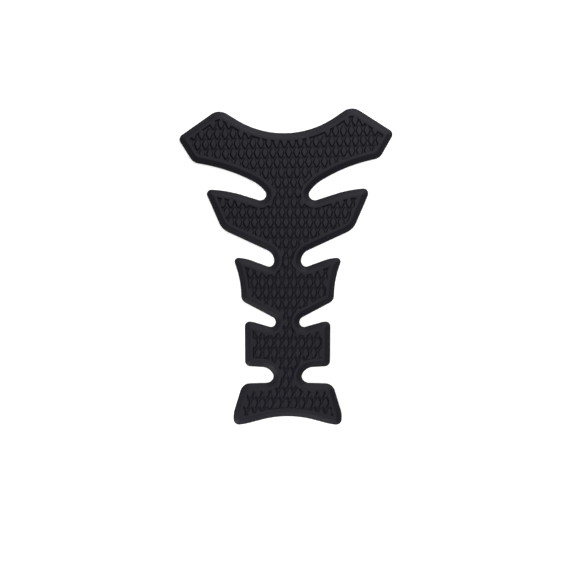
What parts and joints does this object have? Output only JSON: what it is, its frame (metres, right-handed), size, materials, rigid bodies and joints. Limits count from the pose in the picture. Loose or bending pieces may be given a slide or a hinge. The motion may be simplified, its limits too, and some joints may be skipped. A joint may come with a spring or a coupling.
{
  "type": "motorcycle tank pad",
  "caption": "Moulded soft rubber tank pad with winged lobes along a spine, a sloped rim and a raised lozenge grip pattern, stuck by its flat back to a motorcycle fuel tank.",
  "frame": {"origin": "on the flat back face, on the centre line, at half of the pad's length", "axes": "+Y along the centre line towards the wide head, +Z out of the tank through the grip pattern, +X to the right as seen from above"},
  "size_m": [0.1347, 0.2001, 0.0035],
  "materials": {
    "black_rubber": "matt moulded black rubber with a fine grain"
  },
  "bodies": {
    "root": {"tank_pad": "black_rubber"}
  },
  "joints": []
}
